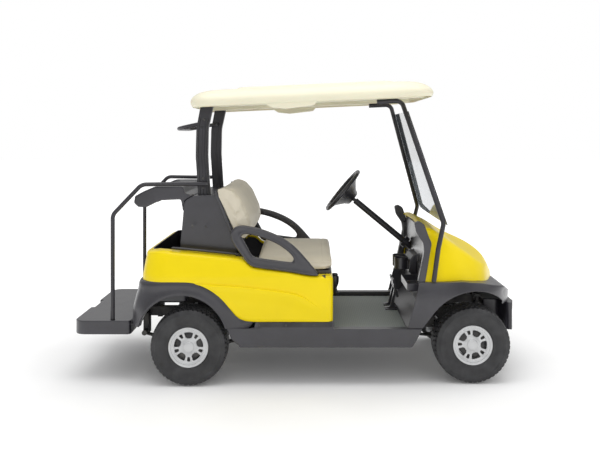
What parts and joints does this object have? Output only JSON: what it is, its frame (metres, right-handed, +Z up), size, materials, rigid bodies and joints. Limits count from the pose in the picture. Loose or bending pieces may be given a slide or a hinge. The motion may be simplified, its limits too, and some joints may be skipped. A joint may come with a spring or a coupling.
{
  "type": "golf cart",
  "caption": "Two-seat electric golf cart with a rigid canopy, split windshield, bag rack, rear step with grab bars, steered front wheels and a lifting seat.",
  "frame": {"origin": "middle of the cart's footprint, on the ground", "axes": "+X forward, +Y to the driver's left, +Z up"},
  "size_m": [2.663, 1.193, 1.7945],
  "materials": {
    "body_paint": "moulded plastic skin, painted yellow, glossy",
    "dark_moulding": "moulded charcoal plastic, fine grain",
    "frame_steel": "black painted steel",
    "bare_steel": "dull machined steel",
    "wheel_paint": "silver painted pressed steel",
    "tyre": "rubber",
    "seat_vinyl": "beige vinyl",
    "roof_plastic": "ivory moulded plastic",
    "clear_pane": "clear acrylic sheet",
    "mat_rubber": "grey ribbed rubber mat",
    "battery_case": "moulded battery cases"
  },
  "bodies": {
    "chassis": {"armrests": "dark_moulding", "bag_rack": "dark_moulding", "bag_well": "dark_moulding", "battery_pack": "battery_case", "chassis_frame": "frame_steel", "dashboard": "dark_moulding", "direction_lever": "dark_moulding", "floor_mat": "mat_rubber", "floor_pan": "dark_moulding", "front_axle": "frame_steel", "front_cowl": "body_paint", "front_fender": "dark_moulding", "front_struts": "frame_steel", "grab_bars": "frame_steel", "motor": "frame_steel", "pedals": "frame_steel", "rear_axle": "frame_steel", "rear_body": "body_paint", "rear_fender": "dark_moulding", "rear_hoop": "frame_steel", "rear_step": "dark_moulding", "rear_struts": "frame_steel", "roof": "roof_plastic", "seat_back": "seat_vinyl", "seat_shroud": "dark_moulding", "sills": "dark_moulding", "steering_column": "frame_steel", "steering_gear": "bare_steel", "step_arms": "frame_steel", "suspension": "bare_steel", "windshield_lower": "clear_pane", "windshield_upper": "clear_pane"},
    "knuckle_left": {"knuckle_left": "bare_steel"},
    "knuckle_right": {"knuckle_right": "bare_steel"},
    "tie_rod": {"tie_rod": "bare_steel"},
    "drop_arm": {"drop_arm": "bare_steel"},
    "steering_wheel": {"steering_wheel": "dark_moulding"},
    "seat_bottom": {"seat_pan": "frame_steel", "seat_cushion": "seat_vinyl"},
    "wheel_front_left": {"tyre_front_left": "tyre", "rim_front_left": "wheel_paint"},
    "wheel_front_right": {"tyre_front_right": "tyre", "rim_front_right": "wheel_paint"},
    "wheel_rear_left": {"tyre_rear_left": "tyre", "rim_rear_left": "wheel_paint"},
    "wheel_rear_right": {"tyre_rear_right": "tyre", "rim_rear_right": "wheel_paint"}
  },
  "joints": [
    {"name": "steer_left", "type": "hinge", "parent": "chassis", "child": "knuckle_left", "pos_m": [1.026, 0.322, 0.226], "axis": [0, 0, 1], "range_deg": [-26, 26]},
    {"name": "steer_right", "type": "hinge", "parent": "chassis", "child": "knuckle_right", "pos_m": [1.026, -0.322, 0.226], "axis": [0, 0, 1], "range_deg": [-26, 26]},
    {"name": "tie_rod_pin", "type": "hinge", "parent": "knuckle_left", "child": "tie_rod", "pos_m": [0.916, 0.322, 0.164], "axis": [0, 0, 1], "range_deg": [-26, 26]},
    {"name": "drop_arm_turn", "type": "hinge", "parent": "chassis", "child": "drop_arm", "pos_m": [0.966, 0.094, 0.164], "axis": [0, 0, 1], "range_deg": [-26, 26]},
    {"name": "steering_turn", "type": "hinge", "parent": "chassis", "child": "steering_wheel", "pos_m": [0.295, 0.28, 1.081], "axis": [-0.77, 0, 0.638], "range_deg": [-312, 312]},
    {"name": "seat_lift", "type": "hinge", "parent": "chassis", "child": "seat_bottom", "pos_m": [-0.252, 0, 0.65], "axis": [0, -1, 0], "range_deg": [0, 60]},
    {"name": "spin_front_left", "type": "hinge", "parent": "knuckle_left", "child": "wheel_front_left", "pos_m": [1.026, 0.44, 0.226], "axis": [0, 1, 0], "continuous": true},
    {"name": "spin_front_right", "type": "hinge", "parent": "knuckle_right", "child": "wheel_front_right", "pos_m": [1.026, -0.44, 0.226], "axis": [0, 1, 0], "continuous": true},
    {"name": "spin_rear_left", "type": "hinge", "parent": "chassis", "child": "wheel_rear_left", "pos_m": [-0.638, 0.489, 0.226], "axis": [0, 1, 0], "continuous": true},
    {"name": "spin_rear_right", "type": "hinge", "parent": "chassis", "child": "wheel_rear_right", "pos_m": [-0.638, -0.489, 0.226], "axis": [0, 1, 0], "continuous": true}
  ],
  "couplings": [
    {"joint": "steer_right", "follows": "steer_left", "ratio": 1},
    {"joint": "tie_rod_pin", "follows": "steer_left", "ratio": -1},
    {"joint": "drop_arm_turn", "follows": "steer_left", "ratio": 1},
    {"joint": "steering_turn", "follows": "steer_left", "ratio": 12}
  ]
}
